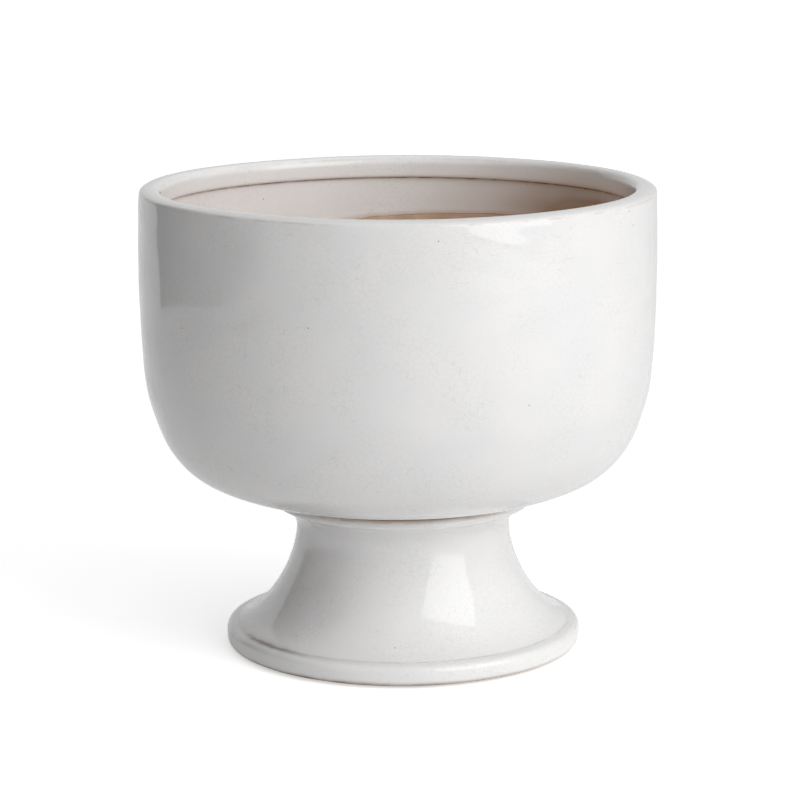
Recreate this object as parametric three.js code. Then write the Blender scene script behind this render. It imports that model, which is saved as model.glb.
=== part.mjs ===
// Jardiniere on its stand: a round glazed earthenware bowl that stands, by a ring under
// its floor, in the recessed top of a flared, hollow pedestal.
// Millimetres, +Z up. The origin is on the floor, on the common axis of bowl and stand.
import * as THREE from 'three';

// ---------- stand: driving dimensions ----------
const STAND_HEIGHT = 89.75;        // ground ring to the top of the collar
const STAND_WALL = 10;             // thickness of the flared wall
const FOOT_RADIUS = 105.5;         // widest part of the foot band
const FOOT_BAND_HEIGHT = 12;       // ground ring to the top of the foot band
const FOOT_SHOULDER_ROUND = 4;     // rounding at the top of the band
const FOOT_EDGE_WIDTH = 3.5;       // how far the rounded lower edge draws in
const FOOT_EDGE_HEIGHT = 3;        // how high that rounding reaches
const GROUND_RING_WIDTH = 16;      // flat ring that meets the floor pads
const FLARE_START_RISE = 13.6;     // the flare leaves the band this steeply, in degrees
const FLARE_FOOT_PULL = 22.4;      // how long the flare keeps that slope
const FLARE_NECK_PULL = 19.2;      // how long the flare runs upright into the neck
const NECK_RADIUS = 63.2;          // narrowest part of the stand
const NECK_HEIGHT = 71.25;         // height of the neck above the ground ring
const COLLAR_THICKNESS = 12;       // width of the collar's rim
const COLLAR_NECK_PULL = 8.5;      // how long the neck runs upright into the collar
const COLLAR_RIM_HEIGHT = 4.5;     // height of the collar's upright rim
const COLLAR_ROUND = 3;            // rounding of that rim's upper edge
const SEAT_DEPTH = 6.5;            // the seat lies this far below the collar's top
const SEAT_THICKNESS = 10;         // thickness of the seat disc
const SEAT_HOLE_RADIUS = 26;       // opening in the middle of the seat
const HOLLOW_ROUND = 6;            // inside rounding under the seat

// ---------- bowl: driving dimensions ----------
const BOWL_HEIGHT = 190.5;         // foot ring to rim
const BOWL_RADIUS = 151.8;         // outside, at the widest height
const BOWL_WIDEST_HEIGHT = 149.5;  // that height above the foot ring
const BOWL_WALL = 10.5;            // thickness of wall and floor
const FOOT_RING_RADIUS = 62;       // outside of the ring that the bowl stands on
const FOOT_RING_WIDTH = 11;
const FOOT_RING_HEIGHT = 9.25;
const RING_CLEARANCE = 2.5;        // foot ring to collar, all round
const RING_TO_BELLY = 10;          // level underside between foot ring and belly
const BELLY_START_RISE = 4;        // the belly leaves it this steeply, in degrees
const BELLY_FLOOR_PULL = 57.5;     // how long the belly keeps that slope
const BELLY_WALL_PULL = 33.5;      // how long it runs up into the wall
const WALL_START_HEIGHT = 67.3;    // where the belly becomes the wall
const WALL_START_INSET = 4.6;      // the wall's draw-in there
const WALL_START_LEAN = 15;        // the wall's lean from upright there, in degrees
const WALL_LOWER_PULL = 13;
const WALL_UPPER_PULL = 32.5;
const RIM_INSET = 0.6;             // the rim is this much narrower than the widest part
const RIM_BAND_PROUD = 3.4;        // how far the band inside the rim stands off the wall
const RIM_EDGE_WIDTH = 7;          // the rim's top starts to fall off this far from its outside
const RIM_EDGE_DROP = 2.2;         // how far it falls to its crisp outer edge
const RIM_INNER_ROUND = 5;
const RIM_BAND_HEIGHT = 13.5;      // top of the rim to the ledge inside
const LEDGE_ROUND = 1.5;

// ---------- drain hole and stopper: driving dimensions ----------
const DRAIN_RADIUS = 11;
const PLUG_CLEARANCE = 0.3;
const PLUG_TAPER = 1;              // the stem's tip is this much slimmer
const PLUG_TIP = 2;                // the stem shows this much under the floor
const PLUG_FLANGE_OVERHANG = 6;    // the flange covers the hole by this much
const PLUG_FLANGE_THICKNESS = 3.5;
const PLUG_FLANGE_ROUND = 1.5;
const PLUG_KNOB_RADIUS = 6;
const PLUG_KNOB_HEIGHT = 8;
const PLUG_KNOB_ROUND = 3;

// ---------- floor pads: driving dimensions ----------
const PAD_COUNT = 4;
const PAD_MARGIN = 2.5;            // bare ring left on each side of a pad
const PAD_THICKNESS = 1.25;

// ---------- fineness of the round surfaces ----------
const TURN_STEPS = 60;             // round a large piece
const SMALL_TURN_STEPS = 24;       // round a plug or a pad
const ROUND_STEPS = 3;             // along a small rounding
const SWEEP_STEPS = 9;             // along the flare or the belly
const WALL_STEPS = 5;              // along the bowl's wall

// ---------- heights and radii that follow ----------
const GRID = 1 / 64;               // faces that touch lie on this fine grid, so they meet exactly
const SAME_POINT = 0.01;           // outline points closer than this are one point
const meeting = (mm) => Math.round(mm / GRID) * GRID;
const radians = THREE.MathUtils.degToRad;
const DOWN = radians(-90);
const RIGHT = radians(0);
const UP = radians(90);
const LEFT = radians(180);

const standFoot = meeting(PAD_THICKNESS);
const standTop = standFoot + STAND_HEIGHT;
const seatHeight = meeting(standTop - SEAT_DEPTH);
const seatRadius = FOOT_RING_RADIUS + RING_CLEARANCE;
const collarRadius = seatRadius + COLLAR_THICKNESS;
const groundOuter = FOOT_RADIUS - FOOT_EDGE_WIDTH;
const groundInner = groundOuter - GROUND_RING_WIDTH;
const bowlFloor = meeting(FOOT_RING_HEIGHT + BOWL_WALL);
const rimRadius = BOWL_RADIUS - RIM_INSET;
const innerRadius = BOWL_RADIUS - BOWL_WALL;
const mouthRadius = innerRadius - RIM_BAND_PROUD;
const ledgeHeight = BOWL_HEIGHT - RIM_BAND_HEIGHT;

// ---------- surfaces ----------
const glaze = new THREE.MeshStandardMaterial({ color: 0xe6e3dd, roughness: 0.12, metalness: 0 });
const rubber = new THREE.MeshStandardMaterial({ color: 0x2b2a29, roughness: 0.7, metalness: 0 });
const felt = new THREE.MeshStandardMaterial({ color: 0x6b645c, roughness: 0.95, metalness: 0 });

// ---------- outline helpers: every point is (radius, height) ----------
const at = (radius, height) => new THREE.Vector2(radius, height);

// Part of an ellipse about a centre, from one angle to another (0 points outwards, UP is up).
function round(centre, width, height, from, to) {
  const points = [];
  for (let i = 0; i <= ROUND_STEPS; i++) {
    const angle = from + ((to - from) * i) / ROUND_STEPS;
    points.push(at(centre.x + width * Math.cos(angle), centre.y + height * Math.sin(angle)));
  }
  return points;
}

// A smooth stretch that leaves start along one direction and reaches end along another.
function sweep(start, leaveAngle, leavePull, end, arriveAngle, arrivePull, steps) {
  const leave = at(Math.cos(leaveAngle), Math.sin(leaveAngle)).multiplyScalar(leavePull).add(start);
  const arrive = at(Math.cos(arriveAngle), Math.sin(arriveAngle)).multiplyScalar(-arrivePull).add(end);
  return new THREE.CubicBezierCurve(start, leave, arrive, end).getPoints(steps);
}

// The same stretch moved sideways, to the left of its direction of travel.
function offset(points, distance) {
  return points.map((point, i) => {
    const before = points[Math.max(i - 1, 0)];
    const after = points[Math.min(i + 1, points.length - 1)];
    const along = after.clone().sub(before).normalize();
    return at(point.x - distance * along.y, point.y + distance * along.x);
  });
}

// Turns an outline about the axis. A point that repeats the one before it is dropped.
function turned(name, stretches, material, steps) {
  const outline = [];
  for (const point of stretches.flat()) {
    const last = outline[outline.length - 1];
    if (!last || last.distanceTo(point) > SAME_POINT) outline.push(point);
  }
  const geometry = new THREE.LatheGeometry(outline, steps);
  geometry.rotateX(UP);
  const mesh = new THREE.Mesh(geometry, material);
  mesh.name = name;
  return mesh;
}

// ---------- stand ----------
function makeStand() {
  const bandTop = standFoot + FOOT_BAND_HEIGHT;
  const shoulder = at(FOOT_RADIUS - FOOT_SHOULDER_ROUND, bandTop - FOOT_SHOULDER_ROUND);
  const neck = at(NECK_RADIUS, standFoot + NECK_HEIGHT);
  const flare = sweep(
    at(shoulder.x, bandTop), LEFT - radians(FLARE_START_RISE), FLARE_FOOT_PULL,
    neck, UP, FLARE_NECK_PULL, SWEEP_STEPS);
  const collar = new THREE.QuadraticBezierCurve(
    neck, at(neck.x, neck.y + COLLAR_NECK_PULL), at(collarRadius, standTop - COLLAR_RIM_HEIGHT));
  const seatUnderside = seatHeight - SEAT_THICKNESS;
  const hollowCorner = at(NECK_RADIUS - STAND_WALL - HOLLOW_ROUND, seatUnderside - HOLLOW_ROUND);
  const hollow = offset(flare, STAND_WALL)
    .filter((point) => point.x < groundInner && point.y < hollowCorner.y)
    .reverse();
  return turned('stand', [
    [at(groundInner, standFoot)],
    round(at(groundOuter, standFoot + FOOT_EDGE_HEIGHT), FOOT_EDGE_WIDTH, FOOT_EDGE_HEIGHT, DOWN, RIGHT),
    round(shoulder, FOOT_SHOULDER_ROUND, FOOT_SHOULDER_ROUND, RIGHT, UP),
    flare,
    collar.getPoints(ROUND_STEPS),
    round(at(collarRadius - COLLAR_ROUND, standTop - COLLAR_ROUND), COLLAR_ROUND, COLLAR_ROUND, RIGHT, UP),
    [at(seatRadius, standTop), at(seatRadius, seatHeight)],
    [at(SEAT_HOLE_RADIUS, seatHeight), at(SEAT_HOLE_RADIUS, seatUnderside)],
    round(hollowCorner, HOLLOW_ROUND, HOLLOW_ROUND, UP, RIGHT),
    hollow,
    [at(groundInner, standFoot)],
  ], glaze, TURN_STEPS);
}

// ---------- floor pads: thin felt discs under the ground ring ----------
function makePad(index) {
  const radius = GROUND_RING_WIDTH / 2 - PAD_MARGIN;
  const geometry = new THREE.CylinderGeometry(radius, radius, standFoot, SMALL_TURN_STEPS);
  geometry.rotateX(UP);
  const pad = new THREE.Mesh(geometry, felt);
  const angle = radians((360 * (index + 0.5)) / PAD_COUNT);   // half a step off +X
  const ringMiddle = (groundInner + groundOuter) / 2;
  pad.position.set(ringMiddle * Math.cos(angle), ringMiddle * Math.sin(angle), standFoot / 2);
  pad.name = `foot_pad_${index + 1}`;
  return pad;
}

// ---------- bowl, drawn with its foot ring at height 0 ----------
function makeBowl() {
  const lean = UP - radians(WALL_START_LEAN);
  const wallStart = at(BOWL_RADIUS - WALL_START_INSET, WALL_START_HEIGHT);
  const belly = sweep(
    at(FOOT_RING_RADIUS + RING_TO_BELLY, FOOT_RING_HEIGHT), radians(BELLY_START_RISE), BELLY_FLOOR_PULL,
    wallStart, lean, BELLY_WALL_PULL, SWEEP_STEPS);
  const wall = sweep(
    wallStart, lean, WALL_LOWER_PULL,
    at(BOWL_RADIUS, BOWL_WIDEST_HEIGHT), UP, WALL_UPPER_PULL, WALL_STEPS);
  const skin = [...belly, ...wall.slice(1)];
  const outerRound = at(rimRadius - RIM_EDGE_WIDTH, BOWL_HEIGHT - RIM_EDGE_DROP);
  const innerRounding = Math.min(RIM_INNER_ROUND, outerRound.x - mouthRadius);
  const innerRound = at(mouthRadius + innerRounding, BOWL_HEIGHT - innerRounding);
  const ledgeRound = at(mouthRadius + LEDGE_ROUND, ledgeHeight + LEDGE_ROUND);
  const ringInner = FOOT_RING_RADIUS - FOOT_RING_WIDTH;
  return turned('bowl', [
    [at(ringInner, 0), at(FOOT_RING_RADIUS, 0), at(FOOT_RING_RADIUS, FOOT_RING_HEIGHT)],
    skin,
    round(outerRound, RIM_EDGE_WIDTH, RIM_EDGE_DROP, RIGHT, UP),
    round(innerRound, innerRounding, innerRounding, UP, LEFT),
    round(ledgeRound, LEDGE_ROUND, LEDGE_ROUND, LEFT, LEFT + UP),
    [at(innerRadius, ledgeHeight)],
    offset(skin, BOWL_WALL).reverse(),
    [at(FOOT_RING_RADIUS, bowlFloor), at(DRAIN_RADIUS, bowlFloor), at(DRAIN_RADIUS, FOOT_RING_HEIGHT)],
    [at(ringInner, FOOT_RING_HEIGHT), at(ringInner, 0)],
  ], glaze, TURN_STEPS);
}

// ---------- rubber stopper in the bowl's drain hole ----------
function makePlug() {
  const stemRadius = DRAIN_RADIUS - PLUG_CLEARANCE;
  const flangeRadius = DRAIN_RADIUS + PLUG_FLANGE_OVERHANG;
  const flangeTop = bowlFloor + PLUG_FLANGE_THICKNESS;
  const knobTop = flangeTop + PLUG_KNOB_HEIGHT;
  const tip = FOOT_RING_HEIGHT - PLUG_TIP;
  const flangeRound = at(flangeRadius - PLUG_FLANGE_ROUND, flangeTop - PLUG_FLANGE_ROUND);
  const knobRound = at(PLUG_KNOB_RADIUS - PLUG_KNOB_ROUND, knobTop - PLUG_KNOB_ROUND);
  return turned('drain_plug', [
    [at(0, tip), at(stemRadius - PLUG_TAPER, tip), at(stemRadius, bowlFloor), at(flangeRadius, bowlFloor)],
    round(flangeRound, PLUG_FLANGE_ROUND, PLUG_FLANGE_ROUND, RIGHT, UP),
    [at(PLUG_KNOB_RADIUS, flangeTop)],
    round(knobRound, PLUG_KNOB_ROUND, PLUG_KNOB_ROUND, RIGHT, UP),
    [at(0, knobTop)],
  ], rubber, SMALL_TURN_STEPS);
}

// ---------- assembly ----------
const jardiniere = new THREE.Group();
jardiniere.add(makeStand());
for (let i = 0; i < PAD_COUNT; i++) jardiniere.add(makePad(i));

const planter = new THREE.Group();
planter.add(makeBowl(), makePlug());
planter.position.z = seatHeight;
jardiniere.add(planter);

export default jardiniere;
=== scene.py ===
"""A jardiniere on its stand: a round glazed earthenware bowl whose foot ring stands in the
recessed top of a flared, hollow pedestal, with a rubber stopper in the drain hole and felt
pads between the pedestal and the floor.

Outlines are worked out in millimetres as (distance from the axis, height); meshes are in metres."""
import math
from collections import namedtuple

import bpy
import numpy as np
from mathutils import Matrix, Vector


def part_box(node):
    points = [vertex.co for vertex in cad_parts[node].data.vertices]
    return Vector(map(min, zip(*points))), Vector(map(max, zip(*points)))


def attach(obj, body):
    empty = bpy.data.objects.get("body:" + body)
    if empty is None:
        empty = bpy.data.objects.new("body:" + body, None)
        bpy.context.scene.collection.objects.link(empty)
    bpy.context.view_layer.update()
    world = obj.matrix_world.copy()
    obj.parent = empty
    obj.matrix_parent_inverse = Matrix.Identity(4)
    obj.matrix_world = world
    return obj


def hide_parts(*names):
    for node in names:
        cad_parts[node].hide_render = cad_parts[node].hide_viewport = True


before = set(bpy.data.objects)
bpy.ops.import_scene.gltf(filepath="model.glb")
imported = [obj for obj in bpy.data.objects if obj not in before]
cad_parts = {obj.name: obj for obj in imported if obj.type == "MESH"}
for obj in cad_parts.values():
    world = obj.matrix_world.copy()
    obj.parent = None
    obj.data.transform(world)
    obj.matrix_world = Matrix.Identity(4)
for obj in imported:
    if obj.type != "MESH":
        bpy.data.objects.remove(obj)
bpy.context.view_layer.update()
MM = 0.001


def extent(node):
    """Lowest and highest corner of one of the frame's nodes, in millimetres."""
    low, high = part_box(node)
    return low / MM, high / MM


# ---------- stand: sizes in millimetres ----------
stand_low, stand_high = extent("stand")
stand_foot = stand_low.z            # underside of the ground ring
stand_top = stand_high.z            # top of the collar
foot_radius = stand_high.x          # widest part of the foot band
STAND_WALL = 10
FOOT_BAND_HEIGHT = 12
FOOT_SHOULDER_ROUND = 4
FOOT_EDGE_WIDTH = 3.5
FOOT_EDGE_HEIGHT = 3
GROUND_RING_WIDTH = 16
FLARE_START_RISE = 13.6             # degrees
FLARE_FOOT_PULL = 22.4
FLARE_NECK_PULL = 19.2
NECK_RADIUS = 63.2
NECK_HEIGHT = 71.25
COLLAR_THICKNESS = 12
COLLAR_NECK_PULL = 8.5
COLLAR_RIM_HEIGHT = 4.5
COLLAR_ROUND = 3
SEAT_THICKNESS = 10
SEAT_HOLE_RADIUS = 26
HOLLOW_ROUND = 6

# ---------- bowl: sizes in millimetres, heights above its foot ring ----------
bowl_low, bowl_high = extent("bowl")
bowl_foot = bowl_low.z              # underside of the foot ring, which is also the seat
bowl_height = bowl_high.z - bowl_foot
bowl_radius = bowl_high.x
BOWL_WIDEST_HEIGHT = 149.5
BOWL_WALL = 10.5
FOOT_RING_RADIUS = 62
FOOT_RING_WIDTH = 11
FOOT_RING_HEIGHT = 9.25
RING_CLEARANCE = 2.5
RING_TO_BELLY = 10
BELLY_START_RISE = 4                # degrees
BELLY_FLOOR_PULL = 57.5
BELLY_WALL_PULL = 33.5
WALL_START_HEIGHT = 67.3
WALL_START_INSET = 4.6
WALL_START_LEAN = 15                # degrees
WALL_LOWER_PULL = 13
WALL_UPPER_PULL = 32.5
RIM_INSET = 0.6
RIM_BAND_PROUD = 3.4
RIM_EDGE_WIDTH = 7
RIM_EDGE_DROP = 2.2
RIM_INNER_ROUND = 5
RIM_BAND_HEIGHT = 13.5
LEDGE_ROUND = 1.5
seat_radius = FOOT_RING_RADIUS + RING_CLEARANCE

# ---------- stopper and pads: sizes in millimetres ----------
plug_low, plug_high = extent("drain_plug")
plug_flange_radius = plug_high.x
DRAIN_RADIUS = 11
PLUG_CLEARANCE = 0.3
PLUG_TAPER = 1
PLUG_FLANGE_THICKNESS = 3.5
PLUG_FLANGE_ROUND = 1.5
PLUG_KNOB_RADIUS = 6
PLUG_KNOB_ROUND = 3
PLUG_KNOB_FOOT = 5.8                # radius of the knob where it meets the flange
PLUG_KNOB_PULL = 3.8                # its waist is drawn in towards this radius
PLUG_KNOB_PULL_DROP = 1             # and towards this far below its middle
PLUG_RIB_COUNT = 3
PLUG_RIB_DEPTH = 0.25
PAD_NODES = [f"foot_pad_{i}" for i in range(1, 5)]
PAD_EDGE = 0.35                     # rounding of a felt pad's rim
PAD_RIM_POINTS = 9

# ---------- how finely a surface is drawn ----------
FINE_STEP = 0.25                    # first even spacing along an outline
CORNER_SOFTNESS = 0.8               # how far a fired corner is rounded off
OUTLINE_STEP = 2.8                  # widest spacing along a finished outline
OUTLINE_TURN = 9                    # most that it turns from point to point, in degrees
LARGE_TURNS = 288                   # points round the bowl and the stand
SMALL_TURNS = 96                    # points round the stopper and the pads
CURVE_POINTS = 80                   # points on a curve before the spacing is evened


# ---------- outlines: arrays of (distance from the axis, height) ----------
def at(radius, height):
    """One corner of an outline."""
    return np.array([[radius, height]], float)


def heading(degrees):
    """Unit step in a direction: 0 points outwards, 90 upwards."""
    return np.array([math.cos(math.radians(degrees)), math.sin(math.radians(degrees))])


def sweep(start, leave, leave_pull, end, arrive, arrive_pull):
    """Cubic curve (1-t)^3 A + 3t(1-t)^2 B + 3t^2(1-t) C + t^3 D, from A = start to D = end.
    B lies leave_pull from A along the leaving direction, C arrive_pull before D."""
    t = np.linspace(0, 1, CURVE_POINTS)[:, None]
    first = start + leave_pull * heading(leave)
    second = end - arrive_pull * heading(arrive)
    return (1 - t) ** 3 * start + 3 * t * (1 - t) ** 2 * first + 3 * t ** 2 * (1 - t) * second + t ** 3 * end


def bend(start, pull, end):
    """Quadratic curve (1-t)^2 A + 2t(1-t) B + t^2 C from A = start towards B = pull to C = end."""
    t = np.linspace(0, 1, CURVE_POINTS)[:, None]
    return (1 - t) ** 2 * start + 2 * t * (1 - t) * pull + t ** 2 * end


def arc(centre, width, height, start, stop):
    """Part of an ellipse: centre + (width cos a, height sin a), a from start to stop in degrees."""
    a = np.radians(np.linspace(start, stop, CURVE_POINTS // 2))
    return centre + np.stack([width * np.cos(a), height * np.sin(a)], axis=1)


def offset(curve, distance):
    """The same curve moved sideways, to the left of its direction of travel."""
    along = np.gradient(curve, axis=0)
    along /= np.linalg.norm(along, axis=1)[:, None]
    return curve + distance * np.stack([-along[:, 1], along[:, 0]], axis=1)


def lengths(outline):
    """Distance along an outline at each of its points, starting with 0."""
    steps = np.linalg.norm(np.diff(outline, axis=0), axis=1)
    return np.concatenate([[0], np.cumsum(steps)])


def respaced(outline, measure, count):
    """Points at count + 1 even steps of a measure that grows along the outline."""
    wanted = np.linspace(0, measure[-1], count + 1)
    return np.stack([np.interp(wanted, measure, outline[:, k]) for k in (0, 1)], axis=1)


def fired(stretches, closed=True):
    """One outline from its stretches, with soft corners and points closer together on bends.
    The outline is spaced evenly, averaged with its neighbours under a bell curve, and then
    spaced by length / OUTLINE_STEP + turning / OUTLINE_TURN. Past its ends on the axis, an open
    outline goes on as its own mirror image."""
    outline = np.concatenate(stretches)
    if closed:
        outline = np.concatenate([outline, outline[:1]])
    run = lengths(outline)
    outline = respaced(outline, run, int(run[-1] / FINE_STEP))
    reach = int(4 * CORNER_SOFTNESS / FINE_STEP)
    bell = np.exp(-0.5 * (np.arange(-reach, reach + 1) * FINE_STEP / CORNER_SOFTNESS) ** 2)
    bell /= bell.sum()
    if closed:
        before, after = outline[-reach - 1:-1], outline[1:reach + 1]
    else:
        before, after = outline[reach:0:-1] * (-1, 1), outline[-2:-reach - 2:-1] * (-1, 1)
    padded = np.concatenate([before, outline, after])
    soft = np.stack([np.convolve(padded[:, k], bell, "valid") for k in (0, 1)], axis=1)
    run = lengths(soft)
    direction = np.unwrap(np.arctan2(*np.gradient(soft, axis=0).T[::-1]))
    turning = np.concatenate([[0], np.cumsum(np.abs(np.diff(direction)))])
    measure = run / OUTLINE_STEP + np.degrees(turning) / OUTLINE_TURN
    return respaced(soft, measure, int(measure[-1]))


def place(outline, radius, height):
    """How far along an outline its nearest point to (radius, height) lies, in millimetres."""
    return lengths(outline)[np.argmin(np.hypot(outline[:, 0] - radius, outline[:, 1] - height))]


# ---------- surfaces turned from outlines ----------
def still(angle, radius, height):
    """No unevenness: a moulded piece."""
    return np.zeros_like(radius), np.zeros_like(height)


def turned(name, outline, turns, unevenness=still, shift=(0, 0), closed=True):
    """Carries an outline round the axis. Point (a, s) lies at
    ((r + dr) cos a, (r + dr) sin a, h + dh) + shift, where (r, h) is the outline at s and
    unevenness gives (dr, dh). A closed outline makes a ring; an open one starts and ends on
    the axis, where its end rows shrink to one point. The UV map 'surface' holds
    (turn, millimetres along the outline)."""
    rows = outline[:-1] if closed else outline[1:-1]
    angle = np.linspace(0, 2 * np.pi, turns, endpoint=False)
    a, r = np.meshgrid(angle, rows[:, 0])
    h = np.repeat(rows[:, 1:], turns, axis=1)
    dr, dh = unevenness(a, r, h)
    x = (r + dr) * np.cos(a) + shift[0]
    y = (r + dr) * np.sin(a) + shift[1]
    points = np.stack([x, y, h + dh], axis=-1).reshape(-1, 3)

    count = len(rows)
    i, j = np.meshgrid(np.arange(count if closed else count - 1), np.arange(turns), indexing="ij")
    below, above = i * turns, (i + 1) % count * turns
    after = (j + 1) % turns
    faces = np.stack([below + j, below + after, above + after, above + j], axis=-1).reshape(-1, 4)
    run = lengths(outline) if closed else lengths(outline)[1:]
    u = np.stack([j, j + 1, j + 1, j], axis=-1) / turns
    v = np.stack([run[i], run[i], run[i + 1], run[i + 1]], axis=-1)
    uv = np.stack([u, v], axis=-1).reshape(-1, 2)

    faces, uv = faces.tolist(), uv.tolist()
    if not closed:
        bottom, top = len(points), len(points) + 1
        ends = [[shift[0], shift[1], outline[0, 1]], [shift[0], shift[1], outline[-1, 1]]]
        points = np.concatenate([points, ends])
        last = (count - 1) * turns
        turn = np.arange(turns)
        faces += np.stack([np.full(turns, bottom), (turn + 1) % turns, turn], axis=1).tolist()
        faces += np.stack([last + turn, last + (turn + 1) % turns, np.full(turns, top)], axis=1).tolist()
        total = lengths(outline)[-1]
        first_uv = np.stack([(turn + 0.5) / turns, 0 * turn, (turn + 1) / turns, 0 * turn + run[0],
                             turn / turns, 0 * turn + run[0]], axis=1)
        last_uv = np.stack([turn / turns, 0 * turn + run[-2], (turn + 1) / turns, 0 * turn + run[-2],
                            (turn + 0.5) / turns, 0 * turn + total], axis=1)
        uv += first_uv.reshape(-1, 2).tolist() + last_uv.reshape(-1, 2).tolist()

    mesh = bpy.data.meshes.new(name)
    mesh.from_pydata((points * MM).tolist(), [], faces)
    mesh.uv_layers.new(name="surface").data.foreach_set("uv", np.array(uv, np.float32).ravel())
    mesh.shade_smooth()
    piece = bpy.data.objects.new(name, mesh)
    bpy.context.scene.collection.objects.link(piece)
    return piece


# ---------- shader maths ----------
class Wire:
    """One output of a shader node. Arithmetic with it adds Math nodes."""

    def __init__(self, finish, socket):
        self.finish = finish
        self.socket = socket

    def maths(self, operation, first, second=0.0):
        return self.finish.node("ShaderNodeMath", {"operation": operation}, {0: first, 1: second})

    def __add__(self, other):
        return self.maths("ADD", self, other)

    def __radd__(self, other):
        return self.maths("ADD", other, self)

    def __sub__(self, other):
        return self.maths("SUBTRACT", self, other)

    def __rsub__(self, other):
        return self.maths("SUBTRACT", other, self)

    def __mul__(self, other):
        return self.maths("MULTIPLY", self, other)

    def __truediv__(self, other):
        return self.maths("DIVIDE", self, other)

    def __pow__(self, other):
        return self.maths("POWER", self, other)

    def least(self, other):
        return self.maths("MINIMUM", self, other)

    def most(self, other):
        return self.maths("MAXIMUM", self, other)

    def sine(self):
        return self.maths("SINE", self)

    def rise(self, low, high):
        """0 below low, 1 above high, eased between them."""
        return self.finish.node("ShaderNodeMapRange", {"interpolation_type": "SMOOTHSTEP"},
                                {"Value": self, "From Min": low, "From Max": high})

    def bell(self, width):
        """1 where the wire is 0, falling off to both sides: 1 / (1 + (x / width)^2)^2."""
        q = self / width
        return (q * q + 1) ** -2


class Finish:
    """The procedural nodes of a material or of the world. Lengths are given in millimetres."""

    def __init__(self, owner):
        owner.use_nodes = True
        self.owner = owner
        self.tree = owner.node_tree
        self.tree.nodes.clear()
        self.position = self.node("ShaderNodeTexCoord", output="Object")

    def node(self, kind, settings=None, inputs=None, output=0):
        """Adds a node: its own settings first, then a value or a wire for each named input."""
        made = self.tree.nodes.new(kind)
        for key, value in (settings or {}).items():
            setattr(made, key, value)
        for key, value in (inputs or {}).items():
            if isinstance(value, Wire):
                self.tree.links.new(value.socket, made.inputs[key])
            else:
                made.inputs[key].default_value = value
        return Wire(self, made.outputs[output]) if made.outputs else None

    def part(self, vector, axis):
        """One of a vector's three numbers."""
        return self.node("ShaderNodeSeparateXYZ", None, {0: vector}, axis)

    def turn(self):
        """How far round the axis, from 0 at +X by way of +Y to 1."""
        return self.part(self.node("ShaderNodeUVMap", {"uv_map": "surface"}), "X")

    def along(self):
        """Millimetres along the outline that the piece was turned from."""
        return self.part(self.node("ShaderNodeUVMap", {"uv_map": "surface"}), "Y")

    def stretched(self, x, y, z):
        """The position with each direction drawn out by a factor."""
        return self.node("ShaderNodeMapping", {"vector_type": "POINT"},
                         {"Vector": self.position, "Scale": (1 / x, 1 / y, 1 / z)})

    def noise(self, size, detail=2.0, roughness=0.5, position=None):
        """Cloudy value from 0 to 1, about 0.5, whose lumps are size across."""
        return self.node("ShaderNodeTexNoise", None, {
            "Vector": position or self.position, "Scale": 1 / (size * MM),
            "Detail": detail, "Roughness": roughness})

    def cells(self, size, feature, output, position=None):
        """Voronoi cells that are size across."""
        return self.node("ShaderNodeTexVoronoi", {"feature": feature}, {
            "Vector": position or self.position, "Scale": 1 / (size * MM)}, output)

    def warped(self, size, reach):
        """The position, pushed about by up to half of reach."""
        push = self.node("ShaderNodeTexNoise", None,
                         {"Vector": self.position, "Scale": 1 / (size * MM)}, "Color")
        middle = self.node("ShaderNodeVectorMath", {"operation": "SUBTRACT"}, {0: push, 1: (0.5,) * 3})
        scaled = self.node("ShaderNodeVectorMath", {"operation": "SCALE"}, {0: middle, "Scale": reach * MM})
        return self.node("ShaderNodeVectorMath", {"operation": "ADD"}, {0: self.position, 1: scaled})

    def mix(self, share, first, second):
        """A colour between two colours: share 0 gives the first, 1 the second."""
        colours = {6: first, 7: second}
        inputs = {k: c if isinstance(c, Wire) else (*c, 1) for k, c in colours.items()}
        return self.node("ShaderNodeMix", {"data_type": "RGBA"}, {0: share, **inputs}, 2)

    def bump(self, height):
        """Normal from a height in millimetres."""
        return self.node("ShaderNodeBump", None, {"Strength": 1.0, "Distance": MM, "Height": height})

    def surface(self, **inputs):
        """Joins a Principled shader to the output. Underscores in input names stand for blanks."""
        named = {key.replace("_", " "): value for key, value in inputs.items()}
        shader = self.node("ShaderNodeBsdfPrincipled", None, named)
        self.node("ShaderNodeOutputMaterial", None, {"Surface": shader})
        return self.owner


def new_finish(name):
    """The empty nodes of a new material."""
    return Finish(bpy.data.materials.new(name))


# ---------- glazed earthenware ----------
BOWL_WHITE = ((0.845, 0.835, 0.83), (0.815, 0.81, 0.81))
# painted light: the stand's two whites are the glaze's own white painted about 5% lighter than the bowl's,
# standing in for light on the stand under the bowl
STAND_WHITE_PAINTED_LIGHTER = ((0.91, 0.90, 0.895), (0.885, 0.88, 0.88))
RIM_AND_INSIDE_PAINTED_WHITE = (0.95, 0.95, 0.95)   # painted light: the rim top and the inside are painted whiter, standing in for light on them
GLAZE_THIN = (0.62, 0.50, 0.39)     # where the clay shows through
CLAY_LIGHT = (0.74, 0.56, 0.43)
CLAY_DARK = (0.60, 0.42, 0.29)
CLAY_SAND = (0.78, 0.63, 0.50)
CRACKLE_COLOUR = (0.50, 0.44, 0.37)
CRACKLE_SIZE = 3.4                  # millimetres
PIT_COLOUR = (0.17, 0.13, 0.10)
PIT_SPACING = 12                    # millimetres
# painted shade: the dark colour of the marks in the stand's crease, at its ground contact and under the
# bowl's inner ledge
PAINTED_SHADE_COLOUR = (0.15, 0.11, 0.085)
INSIDE_SHADE_COLOUR = (0.44, 0.31, 0.225)  # painted shade: the broad brown darkening inside the bowl, at the back right

# A crisp edge where the glaze runs thin: its place along the outline and its width.
ThinLine = namedtuple("ThinLine", "place width strength")
# A mark of painted shade along a band of the outline, strongest at one turn (0 at +X, by way of +Y to 1) and
# spread about it.
ShadeMark = namedtuple("ShadeMark", "colour place width turn spread strength")


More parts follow.
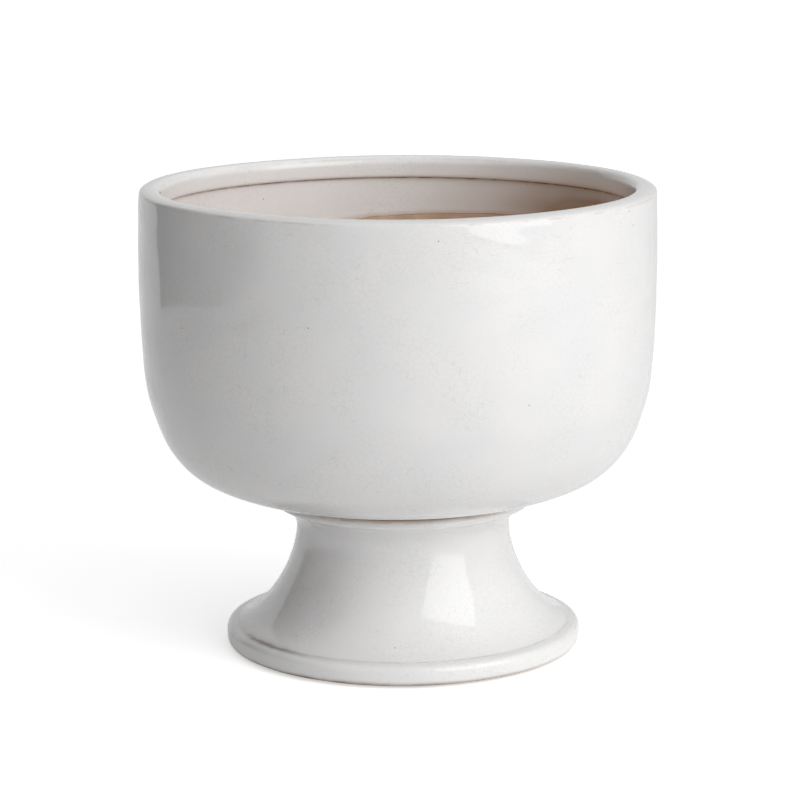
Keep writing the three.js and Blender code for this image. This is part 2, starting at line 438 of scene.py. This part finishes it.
def bare_clay(finish):
    """Colour and height of unglazed clay: soft blotches, sand grains and fine turning marks."""
    blotch = finish.noise(18, 4, 0.6)
    sand = finish.cells(0.9, "F1", "Distance").rise(0.05, 0.42)
    turning = (finish.along() * 3.1 + finish.noise(25) * 6).sine()
    colour = finish.mix(blotch.rise(0.3, 0.7), CLAY_DARK, CLAY_LIGHT)
    colour = finish.mix((1 - sand) * 0.35, colour, CLAY_SAND)
    return colour, sand * 0.05 + turning * 0.03 + finish.noise(1.5) * 0.08


def glazed(name, white, start, end, start_wander, end_wander, end_slant, painted_white_from, thin_lines, shade_marks):
    """Crackle glaze over earthenware, clouded between two whites. Along the outline the glaze
    covers start to end, and each end wanders. end_slant is (how much shorter it reaches per
    metre, towards which turn). Past painted_white_from it is painted whiter, as painted light on the rim
    top and inside. Wide marks of painted shade are smooth, and narrow ones are patchy."""
    finish = new_finish(name)
    along = finish.along()
    slow = finish.noise(70, 1) - 0.5
    quick = finish.noise(9, 3) - 0.5
    from_start = along - start + slow * start_wander + quick * (start_wander / 4)
    slant, slant_turn = end_slant
    x, y = (finish.part(finish.position, axis) for axis in "XY")
    shorter = (x * math.cos(math.tau * slant_turn) + y * math.sin(math.tau * slant_turn)) * slant
    from_end = end - along - shorter + slow * end_wander + quick * (end_wander / 4)
    depth = from_start.least(from_end)
    cover = depth.rise(-0.15, 0.25)

    cloud = finish.noise(45, 3, 0.6).rise(0.3, 0.7)
    colour = finish.mix(cloud, *white)
    # painted light: whiter past painted_white_from, on the rim top and inside
    colour = finish.mix((along - painted_white_from).rise(0, 6), colour, RIM_AND_INSIDE_PAINTED_WHITE)
    thin = (1 - depth.rise(0.2, 3.5)) * 0.55
    patchy = finish.noise(14, 3).rise(0.38, 0.62)
    for line in thin_lines:
        near = (along - line.place + quick * (line.width / 2)).bell(line.width)
        thin = thin.most(near * patchy * line.strength)
    colour = finish.mix(thin, colour, GLAZE_THIN)

    crack = finish.cells(CRACKLE_SIZE, "DISTANCE_TO_EDGE", "Distance", finish.warped(6, 2.5))
    crack = 1 - crack.rise(0.008, 0.035)
    stained = finish.noise(38, 2).rise(0.36, 0.66) * 0.2 + 0.05
    colour = finish.mix(crack * stained, colour, CRACKLE_COLOUR)

    pit_at = finish.cells(PIT_SPACING, "F1", "Distance")
    chosen = finish.node("ShaderNodeSeparateColor", None, {0: finish.cells(PIT_SPACING, "F1", "Color")})
    pit = (1 - pit_at.rise(0.018, 0.045)) * chosen.rise(0.62, 0.66)
    colour = finish.mix(pit * 0.8, colour, PIT_COLOUR)

    clay, clay_height = bare_clay(finish)
    colour = finish.mix(cover, clay, colour)
    # painted shade: each mark darkens the colour towards its own dark colour
    for shade_mark in shade_marks:
        across = (along - shade_mark.place + quick * min(shade_mark.width, 2)).bell(shade_mark.width)
        shaded_share = across * (finish.turn() - shade_mark.turn).bell(shade_mark.spread)
        gaps = 0.6 / max(shade_mark.width, 1)
        colour = finish.mix(shaded_share * (patchy * gaps + 1 - gaps) * shade_mark.strength, colour, shade_mark.colour)

    glaze_height = finish.noise(5, 2) * 0.02 - crack * 0.02 - pit * 0.25
    height = cover * (glaze_height + 0.35) + (1 - cover) * clay_height
    return finish.surface(
        Base_Color=colour,
        Roughness=0.88 - cover * 0.66 + thin * 0.1,
        Coat_Weight=cover * (1 - pit),
        Coat_Roughness=0.02,
        Coat_IOR=1.42,
        Specular_IOR_Level=0.25,
        Normal=finish.bump(height))


# ---------- rubber and felt ----------
def moulded_rubber():
    """Matt black rubber: fine grain, a dusty bloom and a few pale specks."""
    finish = new_finish("black_rubber")
    bloom = finish.noise(6, 4, 0.6).rise(0.35, 0.75)
    speck = 1 - finish.cells(2.2, "F1", "Distance").rise(0.05, 0.12)
    colour = finish.mix(bloom, (0.018, 0.018, 0.018), (0.045, 0.043, 0.04))
    colour = finish.mix(speck * 0.5, colour, (0.16, 0.14, 0.12))
    return finish.surface(
        Base_Color=colour,
        Roughness=0.55 + bloom * 0.3,
        Specular_IOR_Level=0.4,
        Normal=finish.bump(finish.noise(0.5, 2) * 0.03 + speck * 0.02))


def pressed_felt():
    """Grey-brown felt: tangled fibres in two directions over soft clouds."""
    finish = new_finish("pressed_felt")
    fibre_one = finish.noise(0.35, 3, 0.7, finish.stretched(5, 1, 1))
    fibre_two = finish.noise(0.35, 3, 0.7, finish.stretched(1, 5, 1))
    fibre = fibre_one.most(fibre_two)
    colour = finish.mix(fibre.rise(0.4, 0.75), (0.10, 0.085, 0.07), (0.21, 0.185, 0.16))
    colour = finish.mix(finish.noise(2.5).rise(0.4, 0.7) * 0.4, colour, (0.13, 0.12, 0.11))
    return finish.surface(
        Base_Color=colour,
        Roughness=0.9 + fibre * 0.1,
        Sheen_Weight=0.35,
        Specular_IOR_Level=0.2,
        Normal=finish.bump(fibre * 0.12))


# ---------- stand ----------
STAND_SHIFT = 1.3                   # the stand is this far off the middle, in millimetres
STAND_WAVES = 0.09                  # height of the waves in the stand's skin
CREASE_RADIUS = 98.5                # a shallow groove where the flare meets the foot band
CREASE_DEPTH = 0.35
CREASE_WIDTH = 1.3
CREASE_RISE = 0.8                   # height of the groove above the foot band
MARK_WIDTH = 0.8
TURNING_MARKS = ((75.8, 0.22), (82.6, 0.28))   # (height, depth) of grooves round the collar
FOOT_GLAZE_INSET = 1.6              # the stand's glaze starts this far in from the foot band
FOOT_GLAZE_RISE = 0.5               # and this far above the ground ring
COLLAR_GLAZE_INSET = 7              # and ends this far in from the collar's outside
COLLAR_EDGE_INSET = 0.8             # middle of the collar's outer rounding


def stand_unevenness(a, r, h):
    """Hand-turned waviness: dr is a sum of sines round the axis and crossed waves, less a
    bell-shaped groove at each turning mark. dh is a groove of the same kind at the crease."""
    slow = 0.22 * np.sin(2 * a + 1.1) + 0.12 * np.sin(3 * a + 0.4 + h / 50) + 0.05 * np.sin(7 * a + h / 22)
    fine = 0.035 * np.sin(11 * a - h / 13) + 0.03 * np.sin(17 * a + h / 9 + 2)
    waves = STAND_WAVES * np.sin(9 * a + 2 * np.sin(h / 12) + 1) * np.sin(h / 8 + 1.5 * np.sin(4 * a))
    wander = 0.6 * np.sin(a + 0.5) + 0.3 * np.sin(3 * a)
    on_flare = (h > stand_foot + 4) & (h < stand_foot + 20)
    crease = CREASE_DEPTH * np.exp(-((r - CREASE_RADIUS - wander) / CREASE_WIDTH) ** 2) * on_flare
    on_collar = (r > NECK_RADIUS) & (h < stand_top - 3)
    marks = np.zeros_like(r)
    for mark, depth in TURNING_MARKS:
        strength = 0.6 + 0.4 * np.sin(2 * a + mark)
        groove = np.exp(-((h - mark - wander / 2) / MARK_WIDTH) ** 2)
        marks += depth * strength * groove * on_collar
    return slow + fine + waves - marks, -crease


def make_stand():
    band_top = stand_foot + FOOT_BAND_HEIGHT
    seat_height = bowl_foot
    collar_radius = seat_radius + COLLAR_THICKNESS
    ground_outer = foot_radius - FOOT_EDGE_WIDTH
    ground_inner = ground_outer - GROUND_RING_WIDTH
    shoulder = at(foot_radius - FOOT_SHOULDER_ROUND, band_top - FOOT_SHOULDER_ROUND)
    neck = at(NECK_RADIUS, stand_foot + NECK_HEIGHT)
    flare = sweep(at(shoulder[0, 0], band_top), 180 - FLARE_START_RISE, FLARE_FOOT_PULL,
                  neck, 90, FLARE_NECK_PULL)
    seat_underside = seat_height - SEAT_THICKNESS
    hollow_corner = at(NECK_RADIUS - STAND_WALL - HOLLOW_ROUND, seat_underside - HOLLOW_ROUND)
    hollow = offset(flare, STAND_WALL)[::-1]
    hollow = hollow[(hollow[:, 0] < ground_inner) & (hollow[:, 1] < hollow_corner[0, 1])]
    outline = fired([
        at(ground_inner, stand_foot),
        arc(at(ground_outer, stand_foot + FOOT_EDGE_HEIGHT), FOOT_EDGE_WIDTH, FOOT_EDGE_HEIGHT, -90, 0),
        arc(shoulder, FOOT_SHOULDER_ROUND, FOOT_SHOULDER_ROUND, 0, 90),
        flare[1:],
        bend(neck, neck + [0, COLLAR_NECK_PULL], at(collar_radius, stand_top - COLLAR_RIM_HEIGHT))[1:],
        arc(at(collar_radius - COLLAR_ROUND, stand_top - COLLAR_ROUND), COLLAR_ROUND, COLLAR_ROUND, 0, 90),
        at(seat_radius, stand_top), at(seat_radius, seat_height),
        at(SEAT_HOLE_RADIUS, seat_height), at(SEAT_HOLE_RADIUS, seat_underside),
        arc(hollow_corner, HOLLOW_ROUND, HOLLOW_ROUND, 90, 0),
        hollow,
    ])
    stand = turned("glazed_stand", outline, LARGE_TURNS, stand_unevenness, (STAND_SHIFT, 0))
    crease = place(outline, CREASE_RADIUS, band_top + CREASE_RISE)
    lower_edge = place(outline, foot_radius - FOOT_GLAZE_INSET, stand_foot + FOOT_GLAZE_RISE)
    collar_edge = place(outline, collar_radius - COLLAR_EDGE_INSET, stand_top - COLLAR_EDGE_INSET)
    stand.data.materials.append(glazed(
        "stand_glaze", STAND_WHITE_PAINTED_LIGHTER,
        start=lower_edge, end=place(outline, collar_radius - COLLAR_GLAZE_INSET, stand_top),
        start_wander=3, end_wander=7, end_slant=(0, 0), painted_white_from=lengths(outline)[-1],
        thin_lines=[ThinLine(collar_edge, width=0.9, strength=0.5)],
        shade_marks=[
            # painted reflection: a dark streak on the foot's shoulder at the front left
            ShadeMark(PAINTED_SHADE_COLOUR, crease - 1, width=2.8, turn=0.6, spread=0.05, strength=1.5),
            # painted shade: a faint darkening all round in the crease
            ShadeMark(PAINTED_SHADE_COLOUR, crease, width=0.8, turn=0.8, spread=0.5, strength=0.25),
            # painted shadow: a dark line along the foot where it meets the ground
            ShadeMark(PAINTED_SHADE_COLOUR, lower_edge + 0.6, width=1.5, turn=0.6, spread=0.25, strength=1.3),
        ]))
    return stand


# ---------- bowl ----------
BOWL_SHIFT = -0.8                   # the bowl is this far off the middle, in millimetres
BOWL_WAVES = 0.15                   # height of the waves in the bowl's skin
SKIN_BLEND = 12                     # the waviness grows over this much outside the foot ring
RIM_EASE_HEIGHT = 14
RIM_EASE_WIDTH = 9
RIM_EASE = 1.2                      # how far the rim's outer edge draws in at -X
RIM_SLUMP = 1.4                     # how far it sinks at +X
BELLY_GLAZE_GAP = 16                # the glaze outside starts this far from the foot ring
GLAZE_LINE_HEIGHT = 220             # and ends inside at about this height above the floor
WHITER_INSET = 4                    # it is painted whiter, as painted light, from this far in from the rim's outside
RIM_EDGE_INSET = 0.2                # the crisp outer edge of the rim
MOUTH_EDGE_INSET = 1.2              # the rounded inner edge of the rim: its distance from the mouth
MOUTH_EDGE_DROP = 1.6               # and from the top


def bowl_unevenness(a, r, h):
    """Hand-turned waviness: outside the foot ring, dr is a sum of sines round the axis and up
    the wall, and of crossed waves. The rim rises and falls, and its outer edge draws in at -X
    and sinks at +X, by shares that grow with the height and the distance from the axis."""
    level = h - bowl_foot
    skin = np.clip((r - FOOT_RING_RADIUS) / SKIN_BLEND, 0, 1)
    slow = (0.18 * np.sin(2 * a + 0.3) + 0.14 * np.sin(3 * a + 2 + level / 60)
            + 0.06 * np.sin(5 * a - level / 35))
    fine = 0.035 * np.sin(9 * a + level / 16) + 0.025 * np.sin(16 * a - level / 11)
    waves = BOWL_WAVES * np.sin(14 * a + 2 * np.sin(level / 14)) * np.sin(level / 9 + 1.5 * np.sin(5 * a))
    rings = 0.02 * np.sin(level / 1.9 + 2 * np.sin(a) + 0.8 * np.sin(3 * a + 1))
    high = np.clip((level - (bowl_height - RIM_EASE_HEIGHT)) / RIM_EASE_HEIGHT, 0, 1)
    outer = np.clip((r - (bowl_radius - RIM_EASE_WIDTH)) / RIM_EASE_WIDTH, 0, 1)
    ease = RIM_EASE * (1 - np.cos(a)) / 2 * high ** 2 * outer
    slump = RIM_SLUMP * (1 + np.cos(a)) / 2 * high ** 2 * outer ** 2
    wall = np.clip((level - WALL_START_HEIGHT) / (bowl_height - WALL_START_HEIGHT), 0, 1)
    lift = (0.25 * np.sin(2 * a + 1) + 0.12 * np.sin(5 * a)) * wall ** 3
    return (slow + fine + waves + rings) * skin - ease, lift - slump


def make_bowl():
    foot = np.array([0, bowl_foot])
    wall_start = at(bowl_radius - WALL_START_INSET, WALL_START_HEIGHT)
    belly = sweep(at(FOOT_RING_RADIUS + RING_TO_BELLY, FOOT_RING_HEIGHT), BELLY_START_RISE, BELLY_FLOOR_PULL,
                  wall_start, 90 - WALL_START_LEAN, BELLY_WALL_PULL)
    wall = sweep(wall_start, 90 - WALL_START_LEAN, WALL_LOWER_PULL,
                 at(bowl_radius, BOWL_WIDEST_HEIGHT), 90, WALL_UPPER_PULL)
    skin = np.concatenate([belly, wall[1:]])
    inner_radius = bowl_radius - BOWL_WALL
    mouth_radius = inner_radius - RIM_BAND_PROUD
    ledge_height = bowl_height - RIM_BAND_HEIGHT
    rim_radius = bowl_radius - RIM_INSET
    floor_height = FOOT_RING_HEIGHT + BOWL_WALL
    ring_inner = FOOT_RING_RADIUS - FOOT_RING_WIDTH
    outline = fired([stretch + foot for stretch in (
        at(ring_inner, 0), at(FOOT_RING_RADIUS, 0), at(FOOT_RING_RADIUS, FOOT_RING_HEIGHT),
        skin,
        arc(at(rim_radius - RIM_EDGE_WIDTH, bowl_height - RIM_EDGE_DROP),
            RIM_EDGE_WIDTH, RIM_EDGE_DROP, 0, 90),
        arc(at(mouth_radius + RIM_INNER_ROUND, bowl_height - RIM_INNER_ROUND),
            RIM_INNER_ROUND, RIM_INNER_ROUND, 90, 180),
        arc(at(mouth_radius + LEDGE_ROUND, ledge_height + LEDGE_ROUND), LEDGE_ROUND, LEDGE_ROUND, 180, 270),
        at(inner_radius, ledge_height),
        offset(skin, BOWL_WALL)[::-1],
        at(FOOT_RING_RADIUS, floor_height), at(DRAIN_RADIUS, floor_height),
        at(DRAIN_RADIUS, FOOT_RING_HEIGHT), at(ring_inner, FOOT_RING_HEIGHT),
    )])
    bowl = turned("glazed_bowl", outline, LARGE_TURNS, bowl_unevenness, (BOWL_SHIFT, 0))
    top = bowl_foot + bowl_height
    ledge = place(outline, inner_radius, bowl_foot + ledge_height)
    rim_edge = place(outline, rim_radius - RIM_EDGE_INSET, top - RIM_EDGE_DROP)
    mouth_edge = place(outline, mouth_radius + MOUTH_EDGE_INSET, top - MOUTH_EDGE_DROP)
    bowl.data.materials.append(glazed(
        "bowl_glaze", BOWL_WHITE,
        start=place(outline, FOOT_RING_RADIUS + BELLY_GLAZE_GAP, bowl_foot + FOOT_RING_HEIGHT),
        end=place(outline, inner_radius, GLAZE_LINE_HEIGHT),
        start_wander=5, end_wander=6, end_slant=(140, 0.17),
        painted_white_from=place(outline, rim_radius - WHITER_INSET, top),
        thin_lines=[
            ThinLine(rim_edge, width=0.6, strength=0.6),
            ThinLine(mouth_edge, width=0.8, strength=0.3),
        ],
        shade_marks=[
            # painted shade: a broad darkening of the inner wall at the back right
            ShadeMark(INSIDE_SHADE_COLOUR, ledge + 16, width=20, turn=0.095, spread=0.09, strength=1.4),
            # painted shade under the inner ledge, with some thin glaze on its edge: strongest at the back
            # right
            ShadeMark(PAINTED_SHADE_COLOUR, ledge, width=0.7, turn=0.1, spread=0.35, strength=1.2),
            # the same painted shade under the ledge, fainter, centred at the front left
            ShadeMark(PAINTED_SHADE_COLOUR, ledge, width=0.6, turn=0.6, spread=0.5, strength=0.7),
        ]))
    return bowl


# ---------- stopper and pads ----------
def make_plug():
    """A tapered stem with sealing ribs, a round flange and a knob drawn in at its waist. It
    stands in the middle of the bowl."""
    stem_radius = DRAIN_RADIUS - PLUG_CLEARANCE
    flange_bottom = bowl_foot + FOOT_RING_HEIGHT + BOWL_WALL
    flange_top = flange_bottom + PLUG_FLANGE_THICKNESS
    tip, top = plug_low.z, plug_high.z
    down = np.linspace(0, 1, CURVE_POINTS)
    ribs = PLUG_RIB_DEPTH * (np.cos(2 * np.pi * PLUG_RIB_COUNT * down) - 1)
    stem = np.stack([stem_radius - PLUG_TAPER * (1 - down) + ribs,
                     tip + (flange_bottom - tip) * down], axis=1)
    knob = bend(at(PLUG_KNOB_FOOT, flange_top),
                at(PLUG_KNOB_PULL, (flange_top + top) / 2 - PLUG_KNOB_PULL_DROP),
                at(PLUG_KNOB_RADIUS, top - PLUG_KNOB_ROUND))
    outline = fired([
        at(0, tip), stem,
        at(plug_flange_radius, flange_bottom),
        arc(at(plug_flange_radius - PLUG_FLANGE_ROUND, flange_top - PLUG_FLANGE_ROUND),
            PLUG_FLANGE_ROUND, PLUG_FLANGE_ROUND, 0, 90),
        knob,
        arc(at(PLUG_KNOB_RADIUS - PLUG_KNOB_ROUND, top - PLUG_KNOB_ROUND),
            PLUG_KNOB_ROUND, PLUG_KNOB_ROUND, 0, 90),
        at(0, top),
    ], closed=False)
    plug = turned("rubber_stopper", outline, SMALL_TURNS, shift=(BOWL_SHIFT, 0), closed=False)
    plug.data.materials.append(moulded_rubber())
    return plug


def make_pad(node, felt):
    """A felt disc, pressed a little thinner at its rim."""
    low, high = extent(node)
    middle = (low + high) / 2
    radius = (high.x - low.x) / 2
    upright = np.linspace(-90, 90, PAD_RIM_POINTS)
    rim = np.stack([radius - PAD_EDGE + PAD_EDGE * np.cos(np.radians(upright)),
                    middle.z + (high.z - low.z) / 2 * np.sin(np.radians(upright))], axis=1)
    outline = np.concatenate([at(0, low.z), at(radius / 2, low.z), rim,
                              at(radius / 2, high.z), at(0, high.z)])
    pad = turned("felt_" + node, outline, SMALL_TURNS // 2, shift=(middle.x, middle.y), closed=False)
    pad.data.materials.append(felt)
    return pad


# ---------- the object ----------
stand = make_stand()
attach(stand, "stand")
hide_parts("stand")

felt = pressed_felt()
for node in PAD_NODES:
    pad = make_pad(node, felt)
    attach(pad, "stand")
    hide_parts(node)

bowl = make_bowl()
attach(bowl, "bowl")
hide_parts("bowl")

plug = make_plug()
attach(plug, "drain_plug")
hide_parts("drain_plug")


# ---------- camera ----------
CAMERA_DISTANCE = 1.741             # metres, from the point that it aims at
CAMERA_RISE = 11.66                 # degrees above level
CAMERA_AIM = 0.1464                 # height of that point
CAMERA_ROLL = -0.0045               # radians
CAMERA_LENS = 132.1                 # millimetres


def make_camera():
    data = bpy.data.cameras.new("camera")
    data.lens = CAMERA_LENS
    data.sensor_width = 36
    camera = bpy.data.objects.new("camera", data)
    bpy.context.scene.collection.objects.link(camera)
    rise = math.radians(CAMERA_RISE)
    place_of = Vector((0, -CAMERA_DISTANCE * math.cos(rise), CAMERA_AIM + CAMERA_DISTANCE * math.sin(rise)))
    look = (Matrix.Rotation(math.pi / 2 - rise, 4, "X") @ Matrix.Rotation(CAMERA_ROLL, 4, "Z"))
    camera.matrix_world = Matrix.Translation(place_of) @ look
    bpy.context.scene.camera = camera


# ---------- studio: floor, daylight from the front right, a softbox and a dark panel ----------
FLOOR_RADIUS = 12                   # metres
FLOOR_GLOW = 0.56                   # extra brightness, to the camera only
FLOOR_GLOW_REFLECTED = 0.2          # the same, in reflections
DAYLIGHT_AZIMUTH = 45               # degrees from the camera's side, round to the right
DAYLIGHT_RISE = 62                  # degrees above level
DAYLIGHT_WIDTH = 62                 # degrees from its middle to its edge
DAYLIGHT_SOFT = 8                   # degrees over which that edge fades
DAYLIGHT_BRIGHT = 0.9
DAYLIGHT_DIM = 0.02
REFLECTED_SHARE = 0.85              # how bright the white surroundings look in the glaze
PANEL_DISTANCE = 1.2                # metres from the axis
PANEL_HEIGHTS = (0.012, 1.35)
PANEL_SPAN = (48, 122)              # degrees from the camera's side, round to the left and back
PANEL_LEAN = 22                     # how much further back its top reaches, in degrees
PANEL_FADE = 22                     # degrees over which its front end thins out
SOFTBOX_DISTANCE = 1.9              # metres from the axis
SOFTBOX_AZIMUTH = 48                # degrees from the camera's side, round to the right
SOFTBOX_RISE = 27                   # degrees above level
SOFTBOX_WIDTH = 1.45
SOFTBOX_HEIGHT = 1.75
SOFTBOX_RADIANCE = 2.2


def bearing(azimuth, rise=0):
    """Unit vector away from the axis: azimuth in degrees from the camera's side to the right."""
    turn, lift = math.radians(azimuth), math.radians(rise)
    return Vector((math.sin(turn) * math.cos(lift), -math.cos(turn) * math.cos(lift), math.sin(lift)))


def seen(finish):
    """1 for what the camera sees itself, and 1 for what it sees in or through glossy things."""
    camera, glossy, through = (finish.node("ShaderNodeLightPath", output=f"Is {kind} Ray")
                               for kind in ("Camera", "Glossy", "Transmission"))
    return camera, glossy.most(through)


def stage_piece(name, points, faces, finish):
    mesh = bpy.data.meshes.new(name)
    mesh.from_pydata(points.tolist(), [], faces)
    mesh.materials.append(finish.owner)
    piece = bpy.data.objects.new(name, mesh)
    bpy.context.scene.collection.objects.link(piece)
    return piece


def make_floor():
    """A round floor. To the camera and in reflections it is white but for the object's shadow."""
    finish = new_finish("studio_floor")
    camera, reflected = seen(finish)
    plain = finish.node("ShaderNodeBsdfDiffuse", None, {"Color": (0.88, 0.88, 0.88, 1)})
    shaded = finish.node("ShaderNodeBsdfDiffuse", None, {"Color": (0.98, 0.98, 0.98, 1)})
    glow = finish.node("ShaderNodeEmission", None, {
        "Color": (1, 1, 1, 1), "Strength": camera * FLOOR_GLOW + reflected * FLOOR_GLOW_REFLECTED})
    lit = finish.node("ShaderNodeAddShader", None, {0: shaded, 1: glow})
    shader = finish.node("ShaderNodeMixShader", None, {0: camera.most(reflected), 1: plain, 2: lit})
    finish.node("ShaderNodeOutputMaterial", None, {"Surface": shader})
    turn = np.linspace(0, 2 * np.pi, 64, endpoint=False)
    rim = np.stack([FLOOR_RADIUS * np.cos(turn), FLOOR_RADIUS * np.sin(turn), 0 * turn], axis=1)
    stage_piece("studio_floor", rim, [list(range(64))], finish)


def make_panel():
    """A dark curved panel: (-R sin t, -R cos t, height), with t in PANEL_SPAN at its foot. Its
    back end leans away, its front end thins out, and the camera doesn't see it."""
    finish = new_finish("dark_panel")
    left, front = (finish.part(finish.position, axis) * -1 for axis in "XY")
    turned_by = left.maths("ARCTAN2", left, front)
    start = math.radians(PANEL_SPAN[0])
    solid = turned_by.rise(start, start + math.radians(PANEL_FADE))
    dark = finish.node("ShaderNodeBsdfDiffuse", None, {"Color": (0.06, 0.055, 0.055, 1)})
    clear = finish.node("ShaderNodeBsdfTransparent")
    shader = finish.node("ShaderNodeMixShader", None, {0: solid, 1: clear, 2: dark})
    finish.node("ShaderNodeOutputMaterial", None, {"Surface": shader})
    steps = 60
    share, height = np.meshgrid(np.linspace(0, 1, steps + 1), PANEL_HEIGHTS)
    first, last = PANEL_SPAN
    t = np.radians(first + share * (last + PANEL_LEAN * height / PANEL_HEIGHTS[1] - first))
    points = np.stack([-PANEL_DISTANCE * np.sin(t), -PANEL_DISTANCE * np.cos(t), height], axis=-1)
    j = np.arange(steps)
    faces = np.stack([j, j + 1, j + steps + 2, j + steps + 1], axis=1).tolist()
    stage_piece("dark_panel", points.reshape(-1, 3), faces, finish).visible_camera = False


def make_softbox():
    """A softbox, front right and high up, that faces the foot of the object."""
    data = bpy.data.lights.new("softbox", "AREA")
    data.shape = "RECTANGLE"
    data.size = SOFTBOX_WIDTH
    data.size_y = SOFTBOX_HEIGHT
    data.energy = SOFTBOX_RADIANCE * math.pi * SOFTBOX_WIDTH * SOFTBOX_HEIGHT
    softbox = bpy.data.objects.new("softbox", data)
    bpy.context.scene.collection.objects.link(softbox)
    outward = bearing(SOFTBOX_AZIMUTH, SOFTBOX_RISE)
    facing = (-outward).to_track_quat("-Z", "Y").to_matrix().to_4x4()
    softbox.matrix_world = Matrix.Translation(outward * SOFTBOX_DISTANCE) @ facing


def make_daylight():
    """Soft light from a wide round patch of the surroundings, and a little from the rest. What
    is seen directly is white all round."""
    world = bpy.data.worlds.new("daylight")
    finish = Finish(world)
    towards = finish.node("ShaderNodeTexCoord", output="Generated")
    middle = bearing(DAYLIGHT_AZIMUTH, DAYLIGHT_RISE)
    near = finish.node("ShaderNodeVectorMath", {"operation": "DOT_PRODUCT"},
                       {0: towards, 1: middle}, "Value")
    outside, inside = (math.cos(math.radians(DAYLIGHT_WIDTH + side * DAYLIGHT_SOFT)) for side in (1, -1))
    light = near.rise(outside, inside) * (DAYLIGHT_BRIGHT - DAYLIGHT_DIM) + DAYLIGHT_DIM
    camera, reflected = seen(finish)
    strength = camera + reflected * REFLECTED_SHARE + (1 - camera - reflected) * light
    background = finish.node("ShaderNodeBackground", None, {"Strength": strength})
    finish.node("ShaderNodeOutputWorld", None, {"Surface": background})
    bpy.context.scene.world = world


make_camera()
make_floor()
make_panel()
make_softbox()
make_daylight()
bpy.context.scene.view_settings.view_transform = "Standard"
